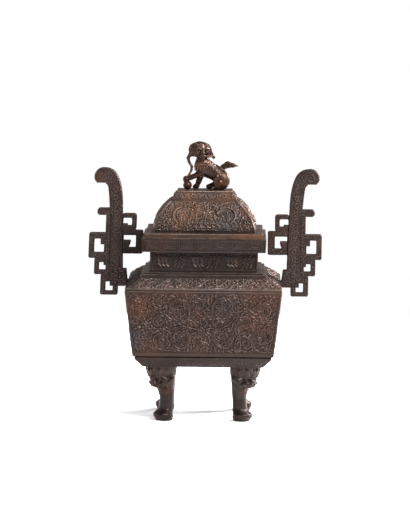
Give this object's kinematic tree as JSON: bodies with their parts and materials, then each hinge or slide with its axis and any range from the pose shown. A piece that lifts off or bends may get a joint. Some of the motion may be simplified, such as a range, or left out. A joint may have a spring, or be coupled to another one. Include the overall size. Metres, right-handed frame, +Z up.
{
  "type": "bronze censer",
  "caption": "Covered rectangular bronze censer with lotus-scroll relief, pierced upright handles, lion-mask legs and a lion finial on the lid.",
  "frame": {"origin": "on the ground, at the middle of the bounding box", "axes": "+Z up, +X to the right along the long side with the handles at both ends, -Y toward the front face with the strokes on its neck"},
  "size_m": [0.3496, 0.2008, 0.4137],
  "materials": {
    "bronze_body": "dark brown patina, satin, with worn brighter crests",
    "bronze_base": "dark grey-brown patina, satin, polished on the masks and toes",
    "bronze_handles": "dark grey-brown patina, satin",
    "bronze_lid": "brown patina, satin, golden where the flange is worn",
    "bronze_lion": "red-brown patina, rubbed and shinier"
  },
  "bodies": {
    "root": {"body": "bronze_body", "base": "bronze_base", "handle_left": "bronze_handles", "handle_right": "bronze_handles", "lid": "bronze_lid", "lion_finial": "bronze_lion"}
  },
  "joints": []
}
